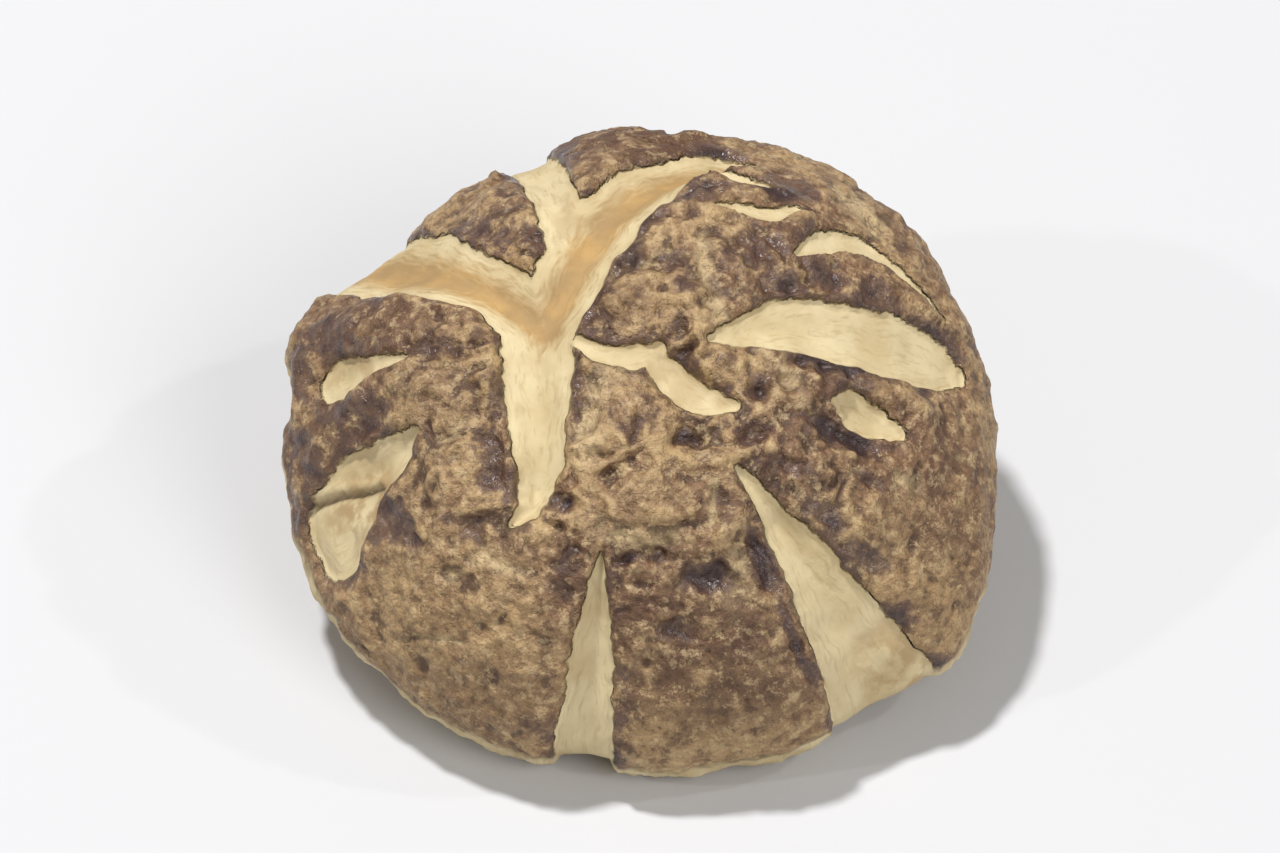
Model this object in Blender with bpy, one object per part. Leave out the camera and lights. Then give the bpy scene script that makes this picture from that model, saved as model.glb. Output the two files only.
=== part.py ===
"""Dried shiitake mushroom with a cracked "flower" cap, resting on its margin and on its stem's cut end.

Everything is modelled in the cap's own frame, in millimetres: +Z runs up the cap's axis, z = 0 is the
level of the cap's widest ring, and -Y is the side that leans down to the surface. The pieces then hang
from an empty that leans the whole mushroom forward. World space is in metres, with the surface at z = 0.
"""

import math

import bmesh
import bpy
import numpy as np
from mathutils import Matrix, Vector, noise

MM = 0.001

# How the mushroom rests: the cap's lean, and where that puts the middle of its widest ring. The origin is
# on the surface under the middle of the whole, and the margin is pressed a little flat there.
LEAN_DEG = 22.0
CAP_PLACE = (0.0, -0.28, 10.89)

# How steeply the photograph looks down on it, and so how far its view is off the cap's axis
CAMERA_ELEVATION_DEG = 47.0
OFF_AXIS = math.radians(90.0 - CAMERA_ELEVATION_DEG - LEAN_DEG)

# Half section of the cap (radius, height): over the dome, round the rolled margin, and back under the flesh.
# The gills and the stem keep about 0.3 mm clear of the flesh, and of each other.
CAP_RADIUS = 21.0
CAP_SECTION = (
    (0.0, 11.2),
    (5.0, 10.9),
    (10.0, 9.7),
    (14.6, 7.3),
    (18.2, 4.0),
    (20.5, 0.9),
    (21.0, -1.4),
    (20.3, -3.6),
    (18.7, -4.8),
    (17.0, -4.5),
    (16.4, -3.2),
    (16.9, -1.6),
    (17.3, 0.1),
    (16.0, 1.9),
    (12.0, 3.8),
    (6.0, 5.0),
    (0.0, 5.2),
)
DOME_POINTS = 7
LIP_POINTS = 11

# The cap's radius seen from above, at every 22.5 degrees anticlockwise from +X
OUTLINE_RADII = (
    20.6, 20.5, 20.7, 20.0, 19.5, 19.2, 19.2, 21.2,
    20.9, 20.9, 20.7, 20.3, 20.2, 20.8, 21.3, 21.3,
)  # fmt: skip

# Cracks in the skin as the photograph shows them, in millimetres from the middle of the cap's outline: how
# deep each one is past the skin, and its points as (right, up, width). "over" carries it round the margin.
SEEN_CRACKS = {
    "main": (0.55, ((-7.3, -4.3, 0.4), (-6.2, -3.2, 1.3), (-5.8, -1.4, 2.4), (-5.7, 1.4, 3.4),
                    (-5.8, 4.2, 3.8), (-5.7, 7.6, 4.4))),
    "main_left_over": (0.75, ((-5.9, 7.9, 3.8), (-8.5, 9.9, 3.1), (-11.0, 10.9, 3.0), (-13.2, 11.4, 3.4),
                              (-14.4, 11.5, 3.6))),
    "main_middle_over": (0.35, ((-4.3, 12.4, 2.4), (-4.7, 14.2, 2.5), (-5.0, 15.6, 2.7))),
    "main_right": (0.75, ((-5.6, 7.4, 3.6), (-5.0, 9.0, 3.9), (-3.7, 11.4, 3.6), (-1.8, 14.2, 3.3),
                          (0.6, 16.2, 2.5), (3.0, 17.1, 1.9), (5.2, 17.3, 1.3), (6.8, 17.1, 0.5))),
    "right_twig": (0.15, ((3.8, 16.9, 0.5), (5.8, 16.2, 0.8), (7.6, 15.5, 0.3))),
    "right_upper": (0.25, ((4.3, 6.6, 0.5), (6.0, 7.1, 1.7), (9.3, 7.5, 3.2), (12.5, 7.1, 3.3),
                           (15.5, 6.1, 3.0), (17.6, 5.2, 2.2), (18.9, 4.5, 0.9))),
    "right_small": (0.15, ((11.6, 3.0, 0.5), (12.9, 2.6, 1.9), (14.3, 1.9, 1.7), (15.6, 1.0, 0.5))),
    "right_lower_over": (0.50, ((5.8, -0.9, 0.4), (7.7, -3.3, 1.5), (9.5, -5.8, 2.7), (11.4, -8.9, 4.3),
                                (13.0, -11.8, 5.2), (14.2, -14.4, 5.7))),
    "bottom_over": (0.40, ((-2.1, -5.9, 0.3), (-2.4, -8.4, 1.2), (-2.6, -11.2, 2.0), (-2.8, -13.8, 2.7),
                           (-3.1, -16.6, 3.3))),
    "left": (0.40, ((-12.9, 1.2, 0.5), (-13.6, 0.6, 1.3), (-14.7, -0.3, 2.2), (-15.8, -1.2, 2.8),
                    (-16.8, -2.2, 3.4), (-17.6, -3.5, 3.6), (-18.2, -4.9, 3.7))),
    "left_upper": (0.20, ((-13.4, 5.5, 0.3), (-15.2, 5.1, 0.8), (-16.6, 4.6, 1.5), (-17.9, 4.1, 2.1))),
    "centre_upper": (0.10, ((-3.6, 6.5, 0.6), (-1.9, 5.6, 1.1), (-0.2, 5.5, 1.5), (1.2, 6.0, 1.0))),
    "centre_lower": (0.15, ((0.6, 5.8, 1.1), (1.7, 4.7, 1.8), (2.9, 3.5, 1.9), (4.2, 2.9, 1.5), (5.6, 2.7, 0.7))),
    "top_right_short": (0.05, ((4.8, 14.5, 0.3), (6.3, 14.3, 0.6), (7.5, 13.9, 0.8), (9.3, 14.1, 0.4))),
    "top_right_long": (0.08, ((9.4, 11.7, 0.4), (11.2, 12.4, 1.1), (13.1, 12.1, 0.8), (14.7, 10.9, 0.6),
                              (16.4, 9.3, 0.5), (17.8, 7.7, 0.3))),
}  # fmt: skip
MOST_STRETCH = 1.6
CRACK_STEP = 0.7

# A crack that goes over the margin fades out these distances past the dome's rim and short of the lip
OVER_RIM = 2.0
SHORT_OF_LIP = 2.0
WIDTH_AT_LIP = 0.6

# Cracks behind and round the side, where the photograph doesn't show them: depth, then (azimuth in degrees,
# arc from the top, width)
HIDDEN_CRACKS = {
    "back_left_over": (0.3, ((120.0, 23.5, 0.4), (122.0, 25.5, 1.6), (123.0, 27.0, 2.4))),
    "back_over": (0.3, ((84.0, 23.0, 0.4), (82.0, 25.0, 1.7), (80.0, 27.5, 2.6))),
    "back_right_over": (0.3, ((50.0, 24.0, 0.4), (48.0, 26.0, 1.3), (47.0, 27.5, 2.0))),
    "right_side_over": (0.2, ((-8.0, 27.0, 0.4), (-9.0, 28.0, 1.2), (-9.5, 29.0, 1.8))),
    "front_left_over": (0.2, ((-134.0, 28.0, 0.4), (-135.0, 29.0, 1.0), (-136.0, 30.0, 1.5))),
}

# A crack is a step down from the skin, between these distances from its edge, and a slope to its middle.
# The skin rounds off towards it.
SKIN_THICKNESS = 0.46
SKIN_EDGE = (0.12, -0.32)
NARROWEST_SLOPE = 0.15
SHALLOWEST_SHARE = 0.3
EDGE_WANDER = 0.22
EDGE_WANDER_LENGTH = 1.1
SHOULDER_DROP = 0.55
SHOULDER_REACH = 1.7

# Lumps and pits of the skin as the photograph shows them: (right, up, half length, half width, turn in
# degrees, height). They fade out beside a crack and where the skin turns away from the view.
LUMP_FALL = 1.2
LUMP_TO_CRACK = 0.5
FACING_FADE = 0.25
SEEN_LUMPS = (
    (-0.5, 2.2, 1.9, 1.5, 70.0, 0.55),
    (-2.6, 0.2, 1.2, 0.9, 20.0, 0.25),
    (3.0, 0.7, 1.1, 0.6, -10.0, -0.40),
    (1.4, 1.2, 1.4, 0.5, 80.0, 0.25),
    (4.7, 5.1, 1.0, 0.9, 0.0, 0.50),
    (7.0, 3.6, 0.9, 0.7, 40.0, -0.35),
    (6.9, 1.2, 1.2, 0.7, 10.0, -0.25),
    (11.4, 5.2, 3.4, 0.75, -12.0, -0.35),
    (12.0, 1.0, 2.9, 0.75, -20.0, -0.40),
    (9.9, 2.8, 1.5, 0.6, -60.0, 0.30),
    (0.2, -3.2, 3.0, 2.0, 10.0, 0.50),
    (-4.3, -2.9, 0.9, 0.6, 0.0, -0.35),
    (-4.0, -6.0, 0.8, 0.5, 30.0, -0.25),
    (-0.8, -6.2, 0.8, 0.4, 20.0, -0.25),
    (1.2, -6.1, 0.9, 0.5, -10.0, -0.25),
    (3.9, -7.3, 1.6, 1.0, 5.0, -0.45),
    (2.3, -10.3, 1.3, 0.7, -5.0, -0.30),
    (5.3, -4.2, 1.4, 0.9, 60.0, 0.30),
    (6.4, -2.2, 0.9, 0.5, 60.0, 0.25),
    (7.3, -6.2, 2.3, 0.65, -66.0, -0.30),
    (-0.8, 8.6, 1.3, 0.9, 30.0, 0.35),
    (-0.5, 11.6, 1.8, 1.0, 60.0, -0.25),
    (2.7, 8.8, 1.6, 1.2, 80.0, 0.45),
    (5.3, 10.5, 1.6, 1.1, 50.0, 0.30),
    (-9.4, 13.0, 2.1, 1.0, -20.0, -0.30),
    (-7.0, 15.0, 1.3, 0.8, 10.0, 0.25),
    (-9.6, 7.6, 1.4, 0.9, -30.0, 0.35),
    (-8.6, 4.6, 1.0, 2.2, 10.0, 0.25),
    (-8.5, -0.6, 0.9, 2.0, 10.0, -0.30),
    (-12.1, 3.4, 1.3, 0.8, 20.0, 0.30),
    (-15.8, 1.6, 2.0, 0.6, 35.0, -0.25),
    (-11.4, -1.4, 0.7, 1.6, 20.0, 0.25),
)

# Swellings and hollows of the margin: (azimuth in degrees, arc from the top, size, height)
MARGIN_SWELLINGS = ((-39.0, 27.4, 4.6, 1.5), (172.0, 26.5, 1.9, -1.5))

# Gentle waves all over the outside, which ends where the lip turns under
WAVE_HEIGHT = 0.55
WAVE_LENGTH = 9.0
RIPPLE_HEIGHT = 0.22
RIPPLE_LENGTH = 2.6
RIPPLE_START = 40.0
OUTSIDE_FADE = 3.0

# Gills: a ring of flesh with ridges that hang from it. Section points are (radius, height)
GILLS = 96
GILL_TOP = ((16.6, 1.0), (12.4, 3.3), (5.8, 4.65))
GILL_EDGE = ((5.8, 1.9), (7.6, 1.0), (11.0, 0.0), (14.6, -0.9), (16.3, -1.9))
GILL_VALLEY_DEPTH = 1.7
VALLEY_SHARE_AT_ENDS = 0.5
SAME_PLACE = 0.1

# Stem: (height, radius, centre x, centre y) from the flesh down past the surface that it is cut flat on
STEM_STATIONS = (
    (4.6, 5.4, 0.0, 0.0),
    (2.4, 5.3, 0.0, 0.0),
    (0.6, 4.9, 0.1, 0.1),
    (-3.0, 4.3, 0.4, 0.5),
    (-7.0, 4.2, 0.9, 1.2),
    (-10.5, 4.6, 1.3, 2.0),
    (-14.5, 5.1, 1.6, 3.0),
    (-18.0, 5.3, 1.8, 3.6),
)
STEM_SIDES = 22
STEM_LOOPS = 18
STEM_ROUGHNESS = 0.35
STEM_BUMP_LENGTH = 3.0
STEM_BUMP_DRAWN_OUT = 0.35
STEM_SMOOTH_ABOVE = 1.0

# Fineness of the solids
CAP_CUTS = 72
CAP_TRIANGLES = 5900
SECTION_SAMPLES = 700
SHARP_EDGE_DEG = 40.0

# (colour, roughness)
CAP_SKIN = ((0.115, 0.072, 0.045, 1.0), 0.62)
GILL_FLESH = ((0.50, 0.27, 0.085, 1.0), 0.75)
STEM_FIBRE = ((0.42, 0.28, 0.15, 1.0), 0.85)


def curve_through(points, samples):
    """A smooth curve through 2-D points, as arc length and coordinates, by centripetal Catmull-Rom."""
    points = np.array(points, float)
    ends = np.vstack([2 * points[0] - points[1], points, 2 * points[-1] - points[-2]])
    knots = np.concatenate([[0.0], np.cumsum(np.sqrt(np.linalg.norm(np.diff(ends, axis=0), axis=1)))])
    out = []
    for i in range(1, len(ends) - 2):
        t = np.linspace(knots[i], knots[i + 1], samples // (len(points) - 1), endpoint=False)[:, None]
        t0, t1, t2, t3 = knots[i - 1 : i + 3]
        p0, p1, p2, p3 = ends[i - 1 : i + 3]
        a1 = (t1 - t) / (t1 - t0) * p0 + (t - t0) / (t1 - t0) * p1
        a2 = (t2 - t) / (t2 - t1) * p1 + (t - t1) / (t2 - t1) * p2
        a3 = (t3 - t) / (t3 - t2) * p2 + (t - t2) / (t3 - t2) * p3
        b1 = (t2 - t) / (t2 - t0) * a1 + (t - t0) / (t2 - t0) * a2
        b2 = (t3 - t) / (t3 - t1) * a2 + (t - t1) / (t3 - t1) * a3
        out.append((t2 - t) / (t2 - t1) * b1 + (t - t1) / (t2 - t1) * b2)
    line = np.vstack([*out, points[-1:]])
    arc = np.concatenate([[0.0], np.cumsum(np.linalg.norm(np.diff(line, axis=0), axis=1))])
    return arc, line


SECTION_ARC, SECTION = curve_through(CAP_SECTION, SECTION_SAMPLES)


def arc_at_point(index):
    """Arc length from the top of the cap to one of the section's own points."""
    return SECTION_ARC[np.argmin(np.linalg.norm(SECTION - np.array(CAP_SECTION[index]), axis=1))]


DOME_ARC = arc_at_point(DOME_POINTS - 1)
LIP_ARC = arc_at_point(LIP_POINTS - 1)
ALL_ARC = SECTION_ARC[-1]


def outline_share(azimuth):
    """The cap's radius in this direction, as a share of CAP_RADIUS: a smooth ring through OUTLINE_RADII."""
    radii = np.array(OUTLINE_RADII)
    place = np.mod(azimuth / (2 * math.pi), 1.0) * len(radii)
    i = np.floor(place).astype(int)
    t = place - i
    p0, p1, p2, p3 = (radii[(i + k) % len(radii)] for k in (-1, 0, 1, 2))
    curve = p1 + 0.5 * t * (p2 - p0 + t * (2 * p0 - 5 * p1 + 4 * p2 - p3 + t * (3 * (p1 - p2) + p3 - p0)))
    return curve / CAP_RADIUS


def cap_points(arc, azimuth):
    """Points of the smooth cap at this arc length down its section and this azimuth."""
    radius = np.interp(arc, SECTION_ARC, SECTION[:, 0]) * outline_share(azimuth)
    height = np.interp(arc, SECTION_ARC, SECTION[:, 1])
    return np.stack([radius * np.cos(azimuth), radius * np.sin(azimuth), height], axis=-1)


def dome_height(x, y):
    """Height of the dome over a point seen from above."""
    over = SECTION_ARC <= DOME_ARC
    radius = np.hypot(x, y) / outline_share(np.arctan2(y, x))
    return np.interp(radius, SECTION[over, 0], SECTION[over, 1])


def seen_from_above(points):
    """Where the photograph's view puts points of the cap, as (right, up)."""
    up = points[..., 1] * math.cos(OFF_AXIS) + points[..., 2] * math.sin(OFF_AXIS)
    return np.stack([points[..., 0], up], axis=-1)


def seen_middle():
    """The middle of the cap's outline in that view."""
    arc, azimuth = np.meshgrid(np.linspace(0.0, LIP_ARC, 60), np.linspace(0.0, 2 * math.pi, 181))
    seen = seen_from_above(cap_points(arc, azimuth)).reshape(-1, 2)
    return 0.5 * (seen.min(axis=0) + seen.max(axis=0))


SEEN_MIDDLE = seen_middle()


def seen_on_dome(right, up):
    """The (arc, azimuth) of the dome's point that is seen this far right of and above the middle."""
    x = right + SEEN_MIDDLE[0]
    y = np.linspace(-CAP_RADIUS, CAP_RADIUS, 2001)
    y = y[np.hypot(x, y) <= CAP_RADIUS * outline_share(np.arctan2(y, x))]
    across = np.full_like(y, x)
    seen_up = seen_from_above(np.stack([across, y, dome_height(across, y)], axis=-1))[:, 1]
    front = slice(0, int(np.argmax(seen_up)) + 1)
    y = float(np.interp(up + SEEN_MIDDLE[1], seen_up[front], y[front]))
    azimuth = math.atan2(y, x)
    radius = math.hypot(x, y) / float(outline_share(azimuth))
    over = SECTION_ARC <= DOME_ARC
    return float(np.interp(radius, SECTION[over, 0], SECTION_ARC[over])), azimuth


def track_on_dome(points):
    """A crack's seen points as (arc, azimuth, width), each width as it is before foreshortening."""
    seen = np.array([point[:2] for point in points])
    way = np.gradient(seen, axis=0)
    track = []
    for (right, up, width), (du, dv) in zip(points, way):
        side = 0.5 * width / math.hypot(du, dv)
        edges = [seen_on_dome(right - sign * dv * side, up + sign * du * side) for sign in (1, -1)]
        apart = np.linalg.norm(cap_points(*map(np.array, edges[0])) - cap_points(*map(np.array, edges[1])))
        arc, azimuth = seen_on_dome(right, up)
        track.append((arc, azimuth, float(np.clip(apart, width, MOST_STRETCH * width))))
    return track


def crack_lines():
    """Each crack's depth and its centre line, as rows of (x, y, z, half width)."""
    tracks = {name: (depth, track_on_dome(points)) for name, (depth, points) in SEEN_CRACKS.items()}
    for name, (depth, points) in HIDDEN_CRACKS.items():
        tracks[name] = (depth, [(arc, math.radians(azimuth), width) for azimuth, arc, width in points])
    lines = []
    for name, (depth, track) in tracks.items():
        if name.endswith("over"):
            _, azimuth, width = track[-1]
            track.append((DOME_ARC + OVER_RIM, azimuth, width))
            track.append((LIP_ARC - SHORT_OF_LIP, azimuth, WIDTH_AT_LIP * width))
        flat = np.array([(a * math.cos(p), a * math.sin(p), w) for a, p, w in track])
        steps = np.concatenate([[0.0], np.cumsum(np.linalg.norm(np.diff(flat[:, :2], axis=0), axis=1))])
        along = np.linspace(0.0, steps[-1], max(3, int(steps[-1] / CRACK_STEP)))
        flat = np.stack([np.interp(along, steps, flat[:, k]) for k in range(3)], axis=1)
        points = cap_points(np.hypot(flat[:, 0], flat[:, 1]), np.arctan2(flat[:, 1], flat[:, 0]))
        lines.append((depth, np.column_stack([points, 0.5 * flat[:, 2]])))
    return lines


def crack_field(points):
    """Each point's distance to the nearest crack's edge, negative inside, with its half width and depth."""
    edge = np.full(len(points), 1e3)
    half = np.full(len(points), 1.0)
    deep = np.zeros(len(points))
    for depth, line in crack_lines():
        for a, b in zip(line[:-1], line[1:]):
            way = b[:3] - a[:3]
            t = np.clip((points - a[:3]) @ way / (way @ way), 0.0, 1.0)
            width = a[3] + t * (b[3] - a[3])
            distance = np.linalg.norm(points - a[:3] - t[:, None] * way, axis=1) - width
            nearer = distance < edge
            edge = np.where(nearer, distance, edge)
            half = np.where(nearer, width, half)
            deep = np.where(nearer, depth, deep)
    return edge, half, deep


def smooth_step(t):
    t = np.clip(t, 0.0, 1.0)
    return t * t * (3.0 - 2.0 * t)


def rough(points, length):
    """Smooth noise from -1 to 1 whose features are about this long."""
    return np.array([noise.noise(Vector(p) / length) for p in points])


def crack_sink(edge, half, deep):
    """How far a crack's floor lies under the skin: a step down, then a slope to the middle."""
    high, low = SKIN_EDGE
    step = smooth_step((high - edge) / (high - low))
    inside = np.clip(-edge / np.maximum(half, NARROWEST_SLOPE), 0.0, 1.0)
    return SKIN_THICKNESS * step + deep * smooth_step(inside) * np.clip(half, SHALLOWEST_SHARE, 1.0)


def lump_height(points, normals):
    """Height of the seen lumps and pits at each point of the side that the photograph shows."""
    to_camera = np.array((0.0, -math.sin(OFF_AXIS), math.cos(OFF_AXIS)))
    facing = smooth_step(normals @ to_camera / FACING_FADE)
    seen = seen_from_above(points) - SEEN_MIDDLE
    height = np.zeros(len(points))
    for right, up, long, short, turn, tall in SEEN_LUMPS:
        across = seen - np.array((right, up))
        c, s = math.cos(math.radians(turn)), math.sin(math.radians(turn))
        lengthwise = (across[:, 0] * c + across[:, 1] * s) / long
        sideways = (across[:, 1] * c - across[:, 0] * s) / short
        height += tall * facing * np.exp(-LUMP_FALL * (lengthwise**2 + sideways**2))
    return height


def margin_swelling(points):
    """How far the margin's swellings and hollows move each point."""
    height = np.zeros(len(points))
    for azimuth, arc, size, tall in MARGIN_SWELLINGS:
        middle = cap_points(np.array(arc), np.array(math.radians(azimuth)))
        height += tall * np.exp(-((np.linalg.norm(points - middle, axis=1) / size) ** 2))
    return height


def cap_relief(points, arc, normals):
    """How far each point of the smooth cap moves out along its normal."""
    outside = 1.0 - smooth_step((arc - (LIP_ARC - OUTSIDE_FADE)) / OUTSIDE_FADE)
    edge, half, deep = crack_field(points)
    edge = edge + EDGE_WANDER * rough(points, EDGE_WANDER_LENGTH) * np.clip(half, 0.0, 1.0)
    shoulders = SHOULDER_DROP * np.exp(-np.maximum(edge, 0.0) / SHOULDER_REACH) * np.clip(half, 0.0, 1.0)
    wave = WAVE_HEIGHT * rough(points, WAVE_LENGTH)
    ripple = RIPPLE_HEIGHT * rough(points + RIPPLE_START, RIPPLE_LENGTH)
    lumps = lump_height(points, normals) * smooth_step(edge / LUMP_TO_CRACK) + margin_swelling(points)
    return outside * (wave + ripple + lumps - shoulders - crack_sink(edge, half, deep))


def unit_ball_directions(bm, cuts):
    """Fills bm with a cube whose sides are grids, as the start of a rounded shape with no poles."""
    bmesh.ops.create_cube(bm, size=2.0)
    bmesh.ops.subdivide_edges(bm, edges=bm.edges[:], cuts=cuts - 1, use_grid_fill=True)
    corners = np.array([v.co for v in bm.verts])
    bulged = np.tan(corners * math.pi / 4)
    return bulged / np.linalg.norm(bulged, axis=1)[:, None]


def place_vertices(bm, points):
    for vertex, point in zip(bm.verts, points):
        vertex.co = point
    bm.normal_update()


def cap_mesh():
    """The cap in its own frame, in millimetres, with its cracks and lumps."""
    bm = bmesh.new()
    direction = unit_ball_directions(bm, CAP_CUTS)
    down = np.arccos(np.clip(direction[:, 2], -1.0, 1.0)) / math.pi
    arc = down * ALL_ARC
    azimuth = np.arctan2(direction[:, 1], direction[:, 0])
    smooth = cap_points(arc, azimuth)
    place_vertices(bm, smooth)
    normals = np.array([v.normal for v in bm.verts])
    place_vertices(bm, smooth + normals * cap_relief(smooth, arc, normals)[:, None])
    return bm


def gill_mesh():
    """A ring whose underside is folded into ridges, one for each gill."""
    bm = bmesh.new()
    section = [bm.verts.new((r, 0.0, z)) for r, z in (*GILL_TOP, *GILL_EDGE)]
    ring = [bm.edges.new((section[i - 1], section[i])) for i in range(len(section))]
    bmesh.ops.spin(bm, geom=section + ring, cent=(0, 0, 0), axis=(0, 0, 1), angle=2 * math.pi,
                   steps=2 * GILLS, use_merge=True)  # fmt: skip
    edge_line = np.array(sorted(GILL_EDGE))
    for vertex in bm.verts:
        azimuth = math.atan2(vertex.co.y, vertex.co.x)
        radius = math.hypot(vertex.co.x, vertex.co.y)
        on_edge = abs(vertex.co.z - np.interp(radius, edge_line[:, 0], edge_line[:, 1])) < SAME_PLACE
        between = round(azimuth / math.pi * GILLS) % 2
        inner, outer = edge_line[0, 0], edge_line[-1, 0]
        if on_edge and between:
            along = inner + SAME_PLACE < radius < outer - SAME_PLACE
            vertex.co.z += GILL_VALLEY_DEPTH * (1.0 if along else VALLEY_SHARE_AT_ENDS)
        share = float(outline_share(np.array(azimuth)))
        grown = inner + (radius - inner) * (outer * share - inner) / (outer - inner)
        vertex.co.x *= grown / radius
        vertex.co.y *= grown / radius
    bmesh.ops.recalc_face_normals(bm, faces=bm.faces[:])
    return bm


def stem_mesh(lean):
    """The stem, swollen at both ends, and cut off level with the surface that the mushroom rests on."""
    bm = bmesh.new()
    bmesh.ops.create_cone(bm, cap_ends=True, segments=STEM_SIDES, radius1=1.0, radius2=1.0, depth=1.0)
    sides = [e for e in bm.edges if abs(e.verts[0].co.z - e.verts[1].co.z) > 0.5]
    bmesh.ops.subdivide_edges(bm, edges=sides, cuts=STEM_LOOPS)
    stations = np.array(STEM_STATIONS)[::-1]
    for vertex in bm.verts:
        height = np.interp(vertex.co.z + 0.5, (0.0, 1.0), (stations[0, 0], stations[-1, 0]))
        radius, x, y = (np.interp(height, stations[:, 0], stations[:, k]) for k in (1, 2, 3))
        place = Vector((vertex.co.x * radius, vertex.co.y * radius, height))
        drawn_out = Vector((place.x, place.y, STEM_BUMP_DRAWN_OUT * height))
        swell = STEM_ROUGHNESS * noise.noise(drawn_out / STEM_BUMP_LENGTH)
        if height > STEM_SMOOTH_ABOVE:
            swell = 0.0
        grown = 1.0 + swell / radius
        vertex.co = (x + place.x * grown, y + place.y * grown, height)
    back = lean.inverted()
    cut = bmesh.ops.bisect_plane(
        bm,
        geom=bm.verts[:] + bm.edges[:] + bm.faces[:],
        plane_co=back @ Vector((0.0, 0.0, 0.0)),
        plane_no=back.to_3x3() @ Vector((0.0, 0.0, -1.0)),
        clear_outer=True,
    )
    rim = [e for e in cut["geom_cut"] if isinstance(e, bmesh.types.BMEdge)]
    bmesh.ops.contextual_create(bm, geom=rim)
    bmesh.ops.recalc_face_normals(bm, faces=bm.faces[:])
    return bm


def press_on_surface(bm, lean):
    """Flattens what would reach below the surface, so that the margin rests on a small flat."""
    up = lean.to_3x3().inverted() @ Vector((0.0, 0.0, 1.0))
    for vertex in bm.verts:
        depth = (lean @ vertex.co).z
        if depth < 0.0:
            vertex.co -= up * depth


def material(name, finish):
    colour, roughness = finish
    made = bpy.data.materials.new(name)
    made.use_nodes = True
    shader = made.node_tree.nodes["Principled BSDF"]
    shader.inputs["Base Color"].default_value = colour
    shader.inputs["Roughness"].default_value = roughness
    shader.inputs["Metallic"].default_value = 0.0
    return made


def add_object(name, bm, parent, finish):
    """A named object from a mesh in millimetres, parented to the leaning empty."""
    bmesh.ops.scale(bm, vec=(MM, MM, MM), verts=bm.verts[:])
    mesh = bpy.data.meshes.new(name)
    bm.to_mesh(mesh)
    bm.free()
    mesh.shade_smooth()
    mesh.set_sharp_from_angle(angle=math.radians(SHARP_EDGE_DEG))
    mesh.materials.append(finish)
    made = bpy.data.objects.new(name, mesh)
    bpy.context.scene.collection.objects.link(made)
    made.parent = parent
    return made


def thin_out(made, triangles):
    """Keeps the shape with fewer, better placed triangles."""
    made.data.calc_loop_triangles()
    modifier = made.modifiers.new("Fewer triangles", "DECIMATE")
    modifier.decimate_type = "COLLAPSE"
    modifier.ratio = triangles / len(made.data.loop_triangles)
    modifier.use_collapse_triangulate = True


def main():
    for old in list(bpy.data.objects):
        bpy.data.objects.remove(old)
    lean = Matrix.Translation(CAP_PLACE) @ Matrix.Rotation(math.radians(LEAN_DEG), 4, "X")
    cap_bm = cap_mesh()
    press_on_surface(cap_bm, lean)

    resting = bpy.data.objects.new("leaning_mushroom", None)
    bpy.context.scene.collection.objects.link(resting)
    resting.rotation_euler = lean.to_euler()
    resting.location = lean.to_translation() * MM

    cap = add_object("cap", cap_bm, resting, material("cap_skin", CAP_SKIN))
    thin_out(cap, CAP_TRIANGLES)
    add_object("gills", gill_mesh(), resting, material("gill_flesh", GILL_FLESH))
    add_object("stem", stem_mesh(lean), resting, material("stem_fibre", STEM_FIBRE))


main()
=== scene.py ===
"""Dried shiitake mushroom: the finished look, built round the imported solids.

The three solids (cap, gills, stem) are each replaced by a finer piece of the same form. Shapes are worked
out in the cap's own frame in millimetres, +Z up the cap's axis, and are put in the world by LEAN.
"""

import math

import bmesh
import bpy
import numpy as np
from mathutils import Matrix, Vector, noise


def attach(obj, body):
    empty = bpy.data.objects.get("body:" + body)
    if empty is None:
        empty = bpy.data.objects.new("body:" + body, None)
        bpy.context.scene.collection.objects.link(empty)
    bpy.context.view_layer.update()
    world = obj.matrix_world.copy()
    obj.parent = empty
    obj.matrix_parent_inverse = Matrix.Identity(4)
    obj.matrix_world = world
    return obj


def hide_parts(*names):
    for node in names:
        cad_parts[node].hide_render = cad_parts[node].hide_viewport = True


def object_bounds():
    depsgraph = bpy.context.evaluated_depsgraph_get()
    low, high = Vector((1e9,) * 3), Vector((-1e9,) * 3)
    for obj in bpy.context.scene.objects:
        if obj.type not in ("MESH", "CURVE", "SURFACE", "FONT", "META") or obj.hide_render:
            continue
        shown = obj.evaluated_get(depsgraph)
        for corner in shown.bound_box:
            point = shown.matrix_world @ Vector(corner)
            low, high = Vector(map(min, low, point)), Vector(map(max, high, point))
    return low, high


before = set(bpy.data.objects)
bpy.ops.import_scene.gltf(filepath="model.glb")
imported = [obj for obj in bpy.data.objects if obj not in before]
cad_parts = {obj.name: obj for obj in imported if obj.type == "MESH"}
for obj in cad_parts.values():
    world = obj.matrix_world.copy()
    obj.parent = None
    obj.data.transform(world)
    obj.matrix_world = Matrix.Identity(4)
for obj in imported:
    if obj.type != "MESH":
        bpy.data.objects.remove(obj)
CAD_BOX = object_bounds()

MM = 0.001

# How the mushroom rests
LEAN_DEG = 22.0
CAP_PLACE = (0.0, -0.28, 10.89)
LEAN = Matrix.Translation(CAP_PLACE) @ Matrix.Rotation(math.radians(LEAN_DEG), 4, "X")

# The photograph's view
CAMERA_ELEVATION_DEG = 47.0
CAMERA_DISTANCE = 0.75
IMAGE_SIZE = (1280, 853)
SHARE_OF_HEIGHT = 0.70
OFF_AXIS = math.radians(90.0 - CAMERA_ELEVATION_DEG - LEAN_DEG)
TO_CAMERA = np.array((0.0, -math.sin(OFF_AXIS), math.cos(OFF_AXIS)))
FACING_FADE = 0.25
MARK_WANDER = 0.35

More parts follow.
